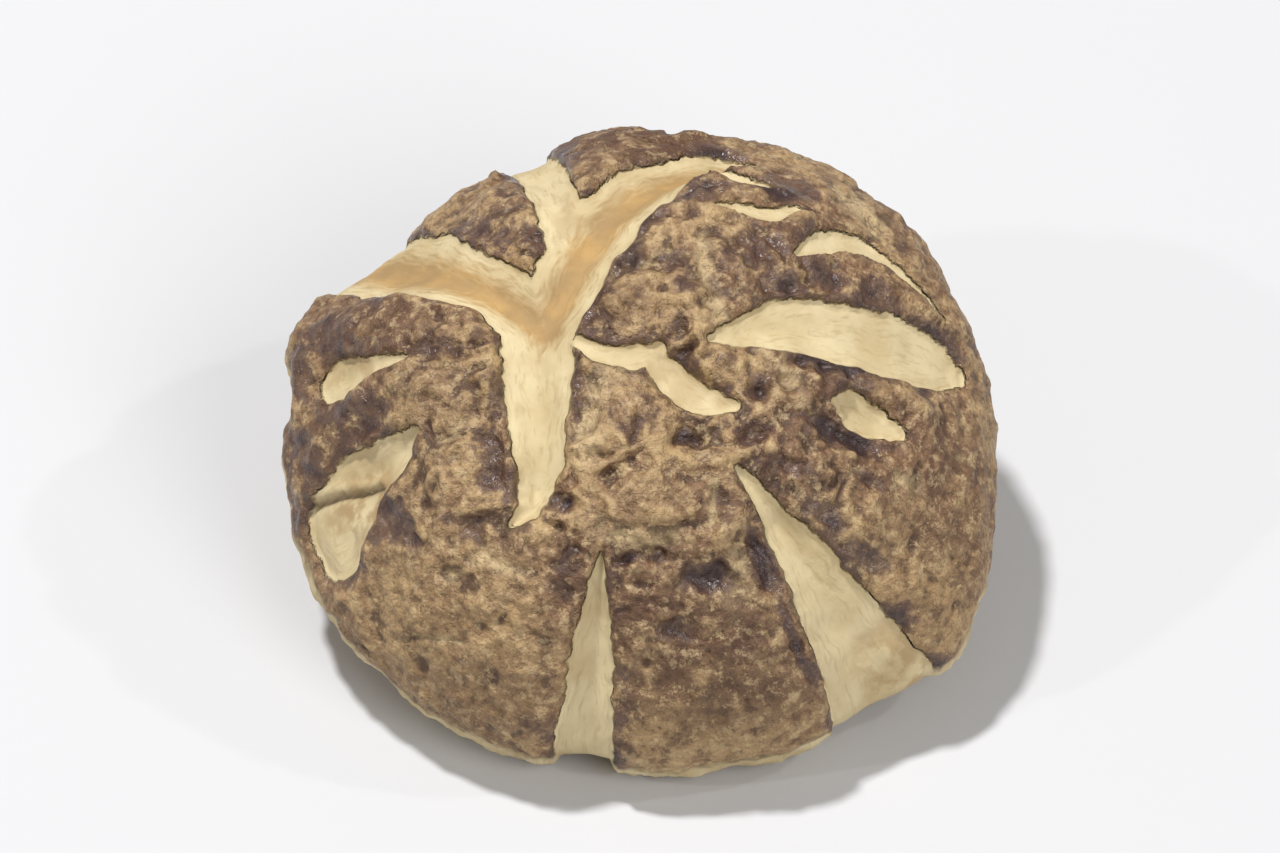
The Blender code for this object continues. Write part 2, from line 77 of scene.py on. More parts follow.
# Half section of the cap (radius, height): over the dome, round the rolled margin, and back under the flesh
CAP_RADIUS = 21.0
CAP_SECTION = (
    (0.0, 11.2),
    (5.0, 10.9),
    (10.0, 9.7),
    (14.6, 7.3),
    (18.2, 4.0),
    (20.5, 0.9),
    (21.0, -1.4),
    (20.3, -3.6),
    (18.7, -4.8),
    (17.0, -4.5),
    (16.4, -3.2),
    (16.9, -1.6),
    (17.3, 0.1),
    (16.0, 1.9),
    (12.0, 3.8),
    (6.0, 5.0),
    (0.0, 5.2),
)
DOME_POINTS = 7
LIP_POINTS = 11

# The cap's radius seen from above, at every 22.5 degrees anticlockwise from +X
OUTLINE_RADII = (
    20.6, 20.5, 20.7, 20.0, 19.5, 19.2, 19.2, 21.2,
    20.9, 20.9, 20.7, 20.3, 20.2, 20.8, 21.3, 21.3,
)  # fmt: skip

# Cracks in the skin as the photograph shows them, in millimetres from the middle of the cap's outline:
# how deep each one is past the skin, and its points as (right, up, width). "over" carries it round the margin.
SEEN_CRACKS = {
    "main": (0.55, ((-7.3, -4.3, 0.4), (-6.2, -3.2, 1.3), (-5.8, -1.4, 2.4), (-5.7, 1.4, 3.4),
                    (-5.8, 4.2, 3.8), (-5.7, 7.6, 4.4))),
    "main_left_over": (0.75, ((-5.9, 7.9, 3.8), (-8.5, 9.9, 3.1), (-11.0, 10.9, 3.0), (-13.2, 11.4, 3.4),
                              (-14.4, 11.5, 3.6))),
    "main_middle_over": (0.35, ((-4.3, 12.4, 2.4), (-4.7, 14.2, 2.5), (-5.0, 15.6, 2.7))),
    "main_right": (0.75, ((-5.6, 7.4, 3.6), (-5.0, 9.0, 3.9), (-3.7, 11.4, 3.6), (-1.8, 14.2, 3.3),
                          (0.6, 16.2, 2.5), (3.0, 17.1, 1.9), (5.2, 17.3, 1.3), (6.8, 17.1, 0.5))),
    "right_twig": (0.15, ((3.8, 16.9, 0.5), (5.8, 16.2, 0.8), (7.6, 15.5, 0.3))),
    "right_upper": (0.25, ((4.3, 6.6, 0.5), (6.0, 7.1, 1.7), (9.3, 7.5, 3.2), (12.5, 7.1, 3.3),
                           (15.5, 6.1, 3.0), (17.6, 5.2, 2.2), (18.9, 4.5, 0.9))),
    "right_small": (0.15, ((11.6, 3.0, 0.5), (12.9, 2.6, 1.9), (14.3, 1.9, 1.7), (15.6, 1.0, 0.5))),
    "right_lower_over": (0.50, ((5.8, -0.9, 0.4), (7.7, -3.3, 1.5), (9.5, -5.8, 2.7), (11.4, -8.9, 4.3),
                                (13.0, -11.8, 5.2), (14.2, -14.4, 5.7))),
    "bottom_over": (0.40, ((-2.1, -5.9, 0.3), (-2.4, -8.4, 1.2), (-2.6, -11.2, 2.0), (-2.8, -13.8, 2.7),
                           (-3.1, -16.6, 3.3))),
    "left": (0.40, ((-12.9, 1.2, 0.5), (-13.6, 0.6, 1.3), (-14.7, -0.3, 2.2), (-15.8, -1.2, 2.8),
                    (-16.8, -2.2, 3.4), (-17.6, -3.5, 3.6), (-18.2, -4.9, 3.7))),
    "left_upper": (0.20, ((-13.4, 5.5, 0.3), (-15.2, 5.1, 0.8), (-16.6, 4.6, 1.5), (-17.9, 4.1, 2.1))),
    "centre_upper": (0.10, ((-3.6, 6.5, 0.6), (-1.9, 5.6, 1.1), (-0.2, 5.5, 1.5), (1.2, 6.0, 1.0))),
    "centre_lower": (0.15, ((0.6, 5.8, 1.1), (1.7, 4.7, 1.8), (2.9, 3.5, 1.9), (4.2, 2.9, 1.5), (5.6, 2.7, 0.7))),
    "top_right_short": (0.05, ((4.8, 14.5, 0.3), (6.3, 14.3, 0.6), (7.5, 13.9, 0.8), (9.3, 14.1, 0.4))),
    "top_right_long": (0.08, ((9.4, 11.7, 0.4), (11.2, 12.4, 1.1), (13.1, 12.1, 0.8), (14.7, 10.9, 0.6),
                              (16.4, 9.3, 0.5), (17.8, 7.7, 0.3))),
}  # fmt: skip
MOST_STRETCH = 1.6

# Cracks behind and round the side: depth, then (azimuth in degrees, arc from the top, width)
HIDDEN_CRACKS = {
    "back_left_over": (0.3, ((120.0, 23.5, 0.4), (122.0, 25.5, 1.6), (123.0, 27.0, 2.4))),
    "back_over": (0.3, ((84.0, 23.0, 0.4), (82.0, 25.0, 1.7), (80.0, 27.5, 2.6))),
    "back_right_over": (0.3, ((50.0, 24.0, 0.4), (48.0, 26.0, 1.3), (47.0, 27.5, 2.0))),
    "right_side_over": (0.2, ((-8.0, 27.0, 0.4), (-9.0, 28.0, 1.2), (-9.5, 29.0, 1.8))),
    "front_left_over": (0.2, ((-134.0, 28.0, 0.4), (-135.0, 29.0, 1.0), (-136.0, 30.0, 1.5))),
}
SKIN_THICKNESS = 0.54
SKIN_EDGE = (0.14, -0.30)
SHOULDER_DROP = 0.55
SHOULDER_REACH = 1.7
TAN_DEPTHS = (0.6, 0.75)

# Lumps and pits of the skin as the photograph shows them:
# (right, up, half length, half width, turn in degrees, height, darkness from 0 to 1)
SEEN_LUMPS = (
    (-0.5, 2.2, 1.9, 1.5, 70.0, 0.55, 0.25),
    (-2.6, 0.2, 1.2, 0.9, 20.0, 0.25, 0.0),
    (3.0, 0.7, 1.1, 0.6, -10.0, -0.40, 0.80),
    (1.4, 1.2, 1.4, 0.5, 80.0, 0.25, 0.0),
    (4.7, 5.1, 1.0, 0.9, 0.0, 0.50, 0.35),
    (7.0, 3.6, 0.9, 0.7, 40.0, -0.35, 0.85),
    (6.9, 1.2, 1.2, 0.7, 10.0, -0.25, 0.55),
    (11.4, 5.2, 3.4, 0.75, -12.0, -0.35, 0.95),
    (12.0, 1.0, 2.9, 0.75, -20.0, -0.40, 0.95),
    (9.9, 2.8, 1.5, 0.6, -60.0, 0.30, 0.0),
    (15.6, 3.2, 1.4, 0.7, -20.0, 0.20, 0.1),
    (0.2, -3.2, 3.0, 2.0, 10.0, 0.50, 0.0),
    (-4.3, -2.9, 0.9, 0.6, 0.0, -0.35, 0.80),
    (-4.0, -6.0, 0.8, 0.5, 30.0, -0.25, 0.65),
    (-0.8, -6.2, 0.8, 0.4, 20.0, -0.25, 0.70),
    (1.2, -6.1, 0.9, 0.5, -10.0, -0.25, 0.55),
    (3.9, -7.3, 1.6, 1.0, 5.0, -0.45, 0.90),
    (2.3, -10.3, 1.3, 0.7, -5.0, -0.30, 0.75),
    (5.3, -4.2, 1.4, 0.9, 60.0, 0.30, 0.0),
    (6.4, -2.2, 0.9, 0.5, 60.0, 0.25, 0.0),
    (7.3, -6.2, 2.3, 0.65, -66.0, -0.30, 0.95),
    (9.3, -11.4, 3.2, 0.45, -66.0, -0.15, 0.75),
    (11.0, -3.6, 1.5, 0.7, -35.0, -0.20, 0.75),
    (13.2, -6.0, 1.7, 0.7, -40.0, -0.20, 0.70),
    (9.0, -0.8, 1.6, 0.6, -25.0, -0.20, 0.55),
    (13.4, -1.6, 1.8, 0.5, -30.0, -0.12, 0.25),
    (-3.6, 4.0, 0.45, 3.2, 0.0, -0.10, 0.70),
    (-0.8, 8.6, 1.3, 0.9, 30.0, 0.35, 0.15),
    (-0.5, 11.6, 1.8, 1.0, 60.0, -0.25, 0.90),
    (2.7, 8.8, 1.6, 1.2, 80.0, 0.45, 0.30),
    (1.8, 11.0, 1.3, 0.7, 20.0, -0.20, 0.50),
    (5.3, 10.5, 1.6, 1.1, 50.0, 0.30, 0.40),
    (7.2, 12.0, 1.8, 0.8, -10.0, -0.20, 0.65),
    (8.3, 9.8, 1.6, 0.7, -10.0, -0.20, 0.60),
    (11.2, 10.4, 1.9, 0.7, -30.0, -0.20, 0.65),
    (14.2, 8.6, 1.9, 0.7, -45.0, -0.15, 0.60),
    (8.7, 15.2, 1.8, 0.8, -20.0, -0.15, 0.80),
    (4.2, 15.2, 1.8, 0.6, 10.0, -0.15, 0.70),
    (-9.4, 13.0, 2.1, 1.0, -20.0, -0.30, 0.40),
    (-7.0, 15.0, 1.3, 0.8, 10.0, 0.25, 0.2),
    (-9.6, 7.6, 1.4, 0.9, -30.0, 0.35, 0.10),
    (-8.6, 4.6, 1.0, 2.2, 10.0, 0.25, 0.20),
    (-8.5, -0.6, 0.9, 2.0, 10.0, -0.30, 0.58),
    (-8.0, 2.6, 0.6, 1.5, 0.0, -0.20, 0.60),
    (-11.2, 5.9, 1.2, 0.7, 10.0, -0.20, 0.55),
    (-12.1, 3.4, 1.3, 0.8, 20.0, 0.30, 0.0),
    (-15.8, 1.6, 2.0, 0.6, 35.0, -0.25, 0.75),
    (-16.5, 2.6, 1.8, 0.8, 20.0, 0.10, 0.70),
    (-17.4, 7.0, 2.1, 1.1, 10.0, 0.20, 0.45),
    (-17.0, 6.0, 2.4, 0.6, 5.0, 0.0, 0.70),
    (-19.6, 4.4, 0.6, 1.8, 0.0, 0.0, 0.80),
    (-19.4, -0.2, 0.9, 2.0, 20.0, 0.0, 0.70),
    (-20.3, -3.6, 0.6, 2.0, 0.0, 0.0, 0.70),
    (-14.9, -4.3, 0.6, 1.6, -30.0, -0.10, 0.65),
    (-9.8, -4.2, 1.2, 0.7, -10.0, -0.20, 0.60),
    (-11.4, -1.4, 0.7, 1.6, 20.0, 0.25, 0.0),
    (-14.0, -4.0, 0.9, 2.1, 40.0, -0.15, 0.70),
)
WAVE_HEIGHT = 0.55
WAVE_LENGTH = 9.0
RIPPLE_HEIGHT = 0.22
RIPPLE_LENGTH = 2.6

# Swellings and hollows of the margin: (azimuth in degrees, arc from the top, size, height)
MARGIN_SWELLINGS = ((-39.0, 27.4, 4.6, 1.5), (172.0, 26.5, 1.9, -1.5))

# Pale creases between the skin's lumps, as points of (right, up, half width)
SEEN_CREASES = (
    ((-2.2, 10.3, 0.3), (0.2, 11.0, 0.4), (2.0, 11.8, 0.3)),
    ((3.5, 12.6, 0.3), (4.3, 9.4, 0.5), (5.0, 7.2, 0.5)),
    ((6.4, 6.7, 0.4), (8.0, 5.2, 0.5), (9.2, 3.5, 0.5), (10.6, 1.2, 0.4)),
    ((-2.9, -0.4, 0.6), (-3.0, 1.6, 0.9), (-2.4, 3.6, 0.8), (-0.8, 5.0, 0.7), (0.8, 5.5, 0.5)),
    ((4.4, -1.7, 0.25), (4.2, -2.8, 0.35), (4.1, -3.9, 0.2)),
    ((5.9, -4.6, 0.6), (5.7, -6.8, 0.8), (5.5, -9.4, 0.5)),
    ((-2.5, -4.2, 0.6), (-0.2, -5.1, 0.5), (2.4, -4.9, 0.4)),
    ((-13.3, -10.8, 0.12), (-11.6, -10.7, 0.18), (-9.9, -10.8, 0.12)),
    ((-11.4, 0.5, 0.15), (-10.4, 1.1, 0.2), (-9.6, 1.7, 0.15)),
    # These two pale streaks are partly painted highlight: bright glints drawn as pale creases.
    ((14.9, -1.1, 0.15), (15.9, -1.8, 0.35), (16.9, -2.5, 0.15)),
    ((18.3, -0.3, 0.15), (19.2, -0.8, 0.2)),
    ((11.6, 15.3, 0.3), (12.9, 14.1, 0.7), (14.2, 12.8, 0.4)),
    ((14.6, 11.0, 0.15), (16.2, 9.6, 0.18), (17.9, 7.6, 0.15)),
    ((-6.9, -6.8, 0.4), (-8.8, -6.2, 0.4), (-10.6, -7.0, 0.3)),
)

# Where the skin is smoother, with a fine even grain: (right, up, half length, half width, turn in degrees)
CALM_PLACES = (
    (-11.5, -9.5, 8.5, 6.0, -50.0),
    (13.5, -7.5, 5.5, 4.5, -60.0),
    (4.5, -14.5, 6.0, 3.0, 0.0),
    (0.4, -3.1, 3.2, 2.0, 5.0),
)

# Where the skin as a whole is darker, partly its own purple-brown tone and partly painted shade on the top rim, the
# left rim and the bottom, where less light falls: (right, up, half length, half width, turn in degrees, darkness)
DARK_TONE_AND_SHADE_PLACES = (
    (4.0, -11.5, 6.6, 5.0, 0.0, 0.95),
    (-15.8, 7.0, 4.5, 2.6, 10.0, 0.75),
    (-18.5, 0.5, 3.4, 2.6, 20.0, 0.85),
    (-20.2, -2.5, 1.2, 4.0, 0.0, 0.90),
    (-0.5, 18.8, 9.0, 2.2, 0.0, 1.0),
    (8.5, 12.4, 5.5, 2.4, -25.0, 0.15),
    (-0.5, 9.5, 2.0, 3.0, -40.0, 0.50),
    (12.0, 2.5, 5.0, 2.6, -20.0, 0.35),
    (-10.6, 3.4, 3.0, 2.6, 0.0, 0.45),
    (-8.0, -13.8, 5.0, 2.0, -20.0, 0.40),
    (18.2, -3.0, 2.0, 5.0, -10.0, 0.50),
)

# Where the flesh in the cracks is browner and rougher, its browner colour partly its own and partly painted shade
# where plates shade the cracks: (right, up, half length, half width, turn, amount)
DULL_AND_SHADED_FLESH = (
    (-16.6, -3.0, 3.4, 2.4, 45.0, 0.85),
    (-17.0, 4.6, 2.4, 1.0, 10.0, 0.60),
    (-1.0, 15.2, 4.5, 1.2, 30.0, 0.60),
    (-4.4, 13.6, 0.8, 2.4, 0.0, 0.45),
    (15.0, -12.6, 2.4, 2.8, 0.0, 0.70),
    (1.8, 4.8, 4.0, 2.0, -40.0, 0.35),
    (-13.6, 11.4, 1.8, 1.8, 0.0, 0.35),
)

# A flap of flesh across a crack, with a slot under it whose shadow is painted dark, as points of (right, up)
FLAP = ((-19.6, -3.1), (-18.2, -2.5), (-16.9, -2.3), (-15.7, -2.0))
FLAP_HEIGHT = 0.22
SLOT_DEPTH = 0.32
FLAP_RISE = 0.30
SLOT_DROP = 0.16
SLOT_WIDTH = 0.24

# Relief of the skin's surface: (height in the middle of the cap, height at its margin, length)
RIDGES = (0.42, 0.16, 2.6)
CRUMPLE = (0.36, 0.17, 1.0)
PUCKER = (0.12, 0.09, 0.45)
RAYS = (0.0, 0.08, 0.9)
FOLDS = (-0.17, -0.06, 1.6)
FOLD_WIDTH = 0.20
CREASE_DEPTH = 0.16

# Ragged edges of the cracks: (how far they wander, length)
EDGE_WANDER = ((0.32, 2.2), (0.18, 0.9))
EDGE_WIDENING = 0.15

# Fineness of the pieces
CAP_CUTS = 124
OUTSIDE_SHARE = 0.86
SECTION_SAMPLES = 700

# Gills: (radius, height) of their lower edges and of the flesh that they hang from
GILLS = 150
GILL_EDGE = ((5.3, 2.3), (6.2, 1.6), (7.6, 1.0), (9.2, 0.5), (11.0, 0.0), (12.8, -0.4), (14.6, -0.9), (15.8, -1.4),
             (16.7, -1.9))  # fmt: skip
GILL_ROOT = ((16.9, 0.9), (14.4, 3.0), (12.0, 4.0), (9.0, 4.7), (5.3, 5.15))
GILL_DEPTH = 1.9
SHORT_GILL_START = 10.5

# Stem: (height, radius, centre x, centre y) from the flesh down past the surface that it is cut flat on
STEM_STATIONS = (
    (5.2, 5.7, 0.0, 0.0),
    (2.4, 5.3, 0.0, 0.0),
    (0.6, 4.9, 0.1, 0.1),
    (-3.0, 4.3, 0.4, 0.5),
    (-7.0, 4.2, 0.9, 1.2),
    (-10.5, 4.6, 1.3, 2.0),
    (-14.5, 5.1, 1.6, 3.0),
    (-18.0, 5.3, 1.8, 3.6),
)
STEM_SIDES = 180
STEM_LOOPS = 120


def colour(hex_code):
    """A linear RGBA colour from a display colour such as 8a6b4f."""
    parts = [int(hex_code[i : i + 2], 16) / 255 for i in (0, 2, 4)]
    linear = [p / 12.92 if p <= 0.04045 else ((p + 0.055) / 1.055) ** 2.4 for p in parts]
    return (*linear, 1.0)


def curve_through(points, samples):
    """A smooth curve through points, with its arc length, by centripetal Catmull-Rom."""
    points = np.array(points, float)
    ends = np.vstack([2 * points[0] - points[1], points, 2 * points[-1] - points[-2]])
    knots = np.concatenate([[0.0], np.cumsum(np.sqrt(np.linalg.norm(np.diff(ends, axis=0), axis=1)))])
    out = []
    for i in range(1, len(ends) - 2):
        t = np.linspace(knots[i], knots[i + 1], samples // (len(points) - 1), endpoint=False)[:, None]
        t0, t1, t2, t3 = knots[i - 1 : i + 3]
        p0, p1, p2, p3 = ends[i - 1 : i + 3]
        a1 = (t1 - t) / (t1 - t0) * p0 + (t - t0) / (t1 - t0) * p1
        a2 = (t2 - t) / (t2 - t1) * p1 + (t - t1) / (t2 - t1) * p2
        a3 = (t3 - t) / (t3 - t2) * p2 + (t - t2) / (t3 - t2) * p3
        b1 = (t2 - t) / (t2 - t0) * a1 + (t - t0) / (t2 - t0) * a2
        b2 = (t3 - t) / (t3 - t1) * a2 + (t - t1) / (t3 - t1) * a3
        out.append((t2 - t) / (t2 - t1) * b1 + (t - t1) / (t2 - t1) * b2)
    line = np.vstack([*out, points[-1:]])
    arc = np.concatenate([[0.0], np.cumsum(np.linalg.norm(np.diff(line, axis=0), axis=1))])
    return arc, line


SECTION_ARC, SECTION = curve_through(CAP_SECTION, SECTION_SAMPLES)


def arc_at_point(index):
    """Arc length from the top of the cap to one of the section's own points."""
    return SECTION_ARC[np.argmin(np.linalg.norm(SECTION - np.array(CAP_SECTION[index]), axis=1))]


DOME_ARC = arc_at_point(DOME_POINTS - 1)
LIP_ARC = arc_at_point(LIP_POINTS - 1)
ALL_ARC = SECTION_ARC[-1]


def outline_share(azimuth):
    """The cap's radius in this direction, as a share of CAP_RADIUS: a smooth ring through OUTLINE_RADII."""
    radii = np.array(OUTLINE_RADII)
    place = np.mod(azimuth / (2 * math.pi), 1.0) * len(radii)
    i = np.floor(place).astype(int)
    t = place - i
    p0, p1, p2, p3 = (radii[(i + k) % len(radii)] for k in (-1, 0, 1, 2))
    curve = p1 + 0.5 * t * (p2 - p0 + t * (2 * p0 - 5 * p1 + 4 * p2 - p3 + t * (3 * (p1 - p2) + p3 - p0)))
    return curve / CAP_RADIUS


def cap_points(arc, azimuth):
    """Points of the smooth cap at this arc length down its section and this azimuth."""
    radius = np.interp(arc, SECTION_ARC, SECTION[:, 0]) * outline_share(azimuth)
    height = np.interp(arc, SECTION_ARC, SECTION[:, 1])
    return np.stack([radius * np.cos(azimuth), radius * np.sin(azimuth), height], axis=-1)


def dome_height(x, y):
    """Height of the dome over a point seen from above."""
    over = SECTION_ARC <= DOME_ARC
    radius = np.hypot(x, y) / outline_share(np.arctan2(y, x))
    return np.interp(radius, SECTION[over, 0], SECTION[over, 1])


def seen_from_above(points):
    """Where the photograph's view puts points of the cap, as (right, up)."""
    up = points[..., 1] * math.cos(OFF_AXIS) + points[..., 2] * math.sin(OFF_AXIS)
    return np.stack([points[..., 0], up], axis=-1)


def seen_middle():
    """The middle of the cap's outline in that view."""
    arc, azimuth = np.meshgrid(np.linspace(0.0, LIP_ARC, 60), np.linspace(0.0, 2 * math.pi, 181))
    seen = seen_from_above(cap_points(arc, azimuth)).reshape(-1, 2)
    return 0.5 * (seen.min(axis=0) + seen.max(axis=0))


SEEN_MIDDLE = seen_middle()


def seen_on_dome(right, up):
    """The (arc, azimuth) of the dome's point that the photograph shows this far right of and above the middle."""
    x = right + SEEN_MIDDLE[0]
    y = np.linspace(-CAP_RADIUS, CAP_RADIUS, 2001)
    y = y[np.hypot(x, y) <= CAP_RADIUS * outline_share(np.arctan2(y, x))]
    across = np.full_like(y, x)
    seen_up = seen_from_above(np.stack([across, y, dome_height(across, y)], axis=-1))[:, 1]
    front = slice(0, int(np.argmax(seen_up)) + 1)
    y = float(np.interp(up + SEEN_MIDDLE[1], seen_up[front], y[front]))
    azimuth = math.atan2(y, x)
    radius = math.hypot(x, y) / float(outline_share(azimuth))
    over = SECTION_ARC <= DOME_ARC
    return float(np.interp(radius, SECTION[over, 0], SECTION_ARC[over])), azimuth


def track_on_dome(points):
    """A crack's seen points as (arc, azimuth, width), each width stretched by as much as the view foreshortens it."""
    seen = np.array([point[:2] for point in points])
    way = np.gradient(seen, axis=0)
    track = []
    for (right, up, width), (du, dv) in zip(points, way):
        side = 0.5 * width / math.hypot(du, dv)
        edges = [seen_on_dome(right - sign * dv * side, up + sign * du * side) for sign in (1, -1)]
        apart = np.linalg.norm(cap_points(*map(np.array, edges[0])) - cap_points(*map(np.array, edges[1])))
        arc, azimuth = seen_on_dome(right, up)
        track.append((arc, azimuth, float(np.clip(apart, width, MOST_STRETCH * width))))
    return track


def crack_lines():
    """Each crack's depth and its centre line, as rows of (x, y, z, half width)."""
    tracks = {name: (depth, track_on_dome(points)) for name, (depth, points) in SEEN_CRACKS.items()}
    for name, (depth, points) in HIDDEN_CRACKS.items():
        tracks[name] = (depth, [(arc, math.radians(azimuth), width) for azimuth, arc, width in points])
    lines = []
    for name, (depth, track) in tracks.items():
        if name.endswith("over"):
            _, azimuth, width = track[-1]
            track.append((DOME_ARC + 2.0, azimuth, width))
            track.append((LIP_ARC - 2.0, azimuth, 0.6 * width))
        flat = np.array([(a * math.cos(p), a * math.sin(p), w) for a, p, w in track])
        steps = np.concatenate([[0.0], np.cumsum(np.linalg.norm(np.diff(flat[:, :2], axis=0), axis=1))])
        along = np.linspace(0.0, steps[-1], max(3, int(steps[-1] / 0.7)))
        flat = np.stack([np.interp(along, steps, flat[:, k]) for k in range(3)], axis=1)
        points = cap_points(np.hypot(flat[:, 0], flat[:, 1]), np.arctan2(flat[:, 1], flat[:, 0]))
        lines.append((depth, np.column_stack([points, 0.5 * flat[:, 2]])))
    return lines


def crack_field(points):
    """Each point's distance to the nearest crack's edge, negative inside, with that crack's half width, and
    how far the flesh slopes down there and how tan it is."""
    edge = np.full(len(points), 1e3)
    half = np.full(len(points), 1.0)
    slope, tan = np.zeros((2, len(points)))
    for depth, line in crack_lines():
        tan_share = np.interp(depth, TAN_DEPTHS, (0.0, 1.0))
        for a, b in zip(line[:-1], line[1:]):
            way = b[:3] - a[:3]
            t = np.clip((points - a[:3]) @ way / (way @ way), 0.0, 1.0)
            width = a[3] + t * (b[3] - a[3])
            distance = np.linalg.norm(points - a[:3] - t[:, None] * way, axis=1) - width
            nearer = distance < edge
            edge = np.where(nearer, distance, edge)
            half = np.where(nearer, width, half)
            inside = np.clip(-distance / np.maximum(width, 0.15), 0.0, 1.0)
            slope = np.maximum(slope, depth * smooth_step(inside) * np.clip(width, 0.3, 1.0))
            tan = np.maximum(tan, tan_share * inside)
    return edge, half, slope, tan


def smooth_step(t):
    t = np.clip(t, 0.0, 1.0)
    return t * t * (3.0 - 2.0 * t)


def rough(points, length):
    """Smooth noise from -1 to 1 whose features are about this long."""
    return np.array([noise.noise(Vector(p) / length) for p in points])


def furrows(points, size):
    """0 on a cell's boundary and 1 well inside it, for cells of about this size."""
    out = np.empty(len(points))
    for i, point in enumerate(points):
        near = noise.voronoi(Vector(point) / size)[0]
        out[i] = near[1] - near[0]
    return smooth_step(out / 0.35)


def reach_of(seen, right, up, long, short, turn):
    """Distance from the middle of a turned ellipse in the photograph's view, 1 on its line."""
    across = seen - np.array((right, up))
    c, s = math.cos(math.radians(turn)), math.sin(math.radians(turn))
    lengthwise = (across[:, 0] * c + across[:, 1] * s) / long
    sideways = (across[:, 1] * c - across[:, 0] * s) / short
    return np.hypot(lengthwise, sideways)


def seen_marks(points, normals):
    """What the photograph shows at each point: the height of lumps, stains, pale creases (two of them painted
    highlight), calm skin, darker skin that is partly painted shade, and duller flesh that is partly painted shade."""
    facing = smooth_step(normals @ TO_CAMERA / FACING_FADE)
    seen = seen_from_above(points) - SEEN_MIDDLE
    seen = seen + MARK_WANDER * np.column_stack([rough(points + k, 0.9) for k in (21.0, 31.0)])
    height, stain, crease, calm, shade, dull_and_shaded = np.zeros((6, len(points)))
    for *place, tall, dark in SEEN_LUMPS:
        reach = reach_of(seen, *place)
        height += tall * np.exp(-1.2 * reach**2)
        stain = np.maximum(stain, dark * (1.0 - smooth_step((reach - 0.4) / 1.1)))
    for place in CALM_PLACES:
        calm = np.maximum(calm, 1.0 - smooth_step((reach_of(seen, *place) - 0.6) / 0.6))
    for *place, dark in DARK_TONE_AND_SHADE_PLACES:
        shade = np.maximum(shade, dark * (1.0 - smooth_step((reach_of(seen, *place) - 0.5) / 0.8)))
    for *place, amount in DULL_AND_SHADED_FLESH:
        dull_and_shaded = np.maximum(dull_and_shaded, amount * (1.0 - smooth_step((reach_of(seen, *place) - 0.4) / 0.8)))
    for line in SEEN_CREASES:
        for a, b in zip(np.array(line[:-1]), np.array(line[1:])):
            way = b[:2] - a[:2]
            t = np.clip((seen - a[:2]) @ way / (way @ way), 0.0, 1.0)
            width = a[2] + t * (b[2] - a[2])
            distance = np.linalg.norm(seen - a[:2] - t[:, None] * way, axis=1)
            crease = np.maximum(crease, np.exp(-((distance / width) ** 2)))
    return height * facing, stain * facing, crease * facing, calm * facing, shade, dull_and_shaded


def flap_marks(points):
    """How high the flap raises each point, and how much painted shadow the slot under it gets there."""
    seen = seen_from_above(points) - SEEN_MIDDLE
    raised, slot = np.zeros((2, len(points)))
    for a, b in zip(np.array(FLAP[:-1]), np.array(FLAP[1:])):
        way = b - a
        along = (seen - a) @ way / (way @ way)
        foot = a + np.clip(along, 0.0, 1.0)[:, None] * way
        above = (way[0] * (seen - a)[:, 1] - way[1] * (seen - a)[:, 0]) / math.hypot(*way)
        distance = np.linalg.norm(seen - foot, axis=1) * np.sign(above)
        raised = np.maximum(raised, np.exp(-(((distance - FLAP_RISE) / FLAP_RISE) ** 2)))
        slot = np.maximum(slot, np.exp(-(((distance + SLOT_DROP) / SLOT_WIDTH) ** 2)))
    return FLAP_HEIGHT * raised - SLOT_DEPTH * slot, slot


def margin_swelling(points):
    """How far the margin's swellings and hollows move each point."""
    height = np.zeros(len(points))
    for azimuth, arc, size, tall in MARGIN_SWELLINGS:
        middle = cap_points(np.array(arc), np.array(math.radians(azimuth)))
        height += tall * np.exp(-((np.linalg.norm(points - middle, axis=1) / size) ** 2))
    return height


def place_vertices(bm, points):
    for vertex, point in zip(bm.verts, points):
        vertex.co = point
    bm.normal_update()


def finished_piece(name, bm, finish, layers, node):
    """A piece in the world from a bmesh in the cap's frame, with its attributes, in place of a solid."""
    bmesh.ops.transform(bm, matrix=Matrix.Scale(MM, 4) @ LEAN, verts=bm.verts[:])
    mesh = bpy.data.meshes.new(name)
    bm.to_mesh(mesh)
    bm.free()
    mesh.shade_smooth()
    mesh.materials.append(finish)
    for layer, values in layers.items():
        values = np.asarray(values, np.float32)
        kind, key = ("FLOAT_VECTOR", "vector") if values.ndim == 2 else ("FLOAT", "value")
        mesh.attributes.new(layer, kind, "POINT").data.foreach_set(key, values.ravel())
    piece = bpy.data.objects.new(name, mesh)
    bpy.context.scene.collection.objects.link(piece)
    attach(piece, "root")
    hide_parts(node)
    return piece


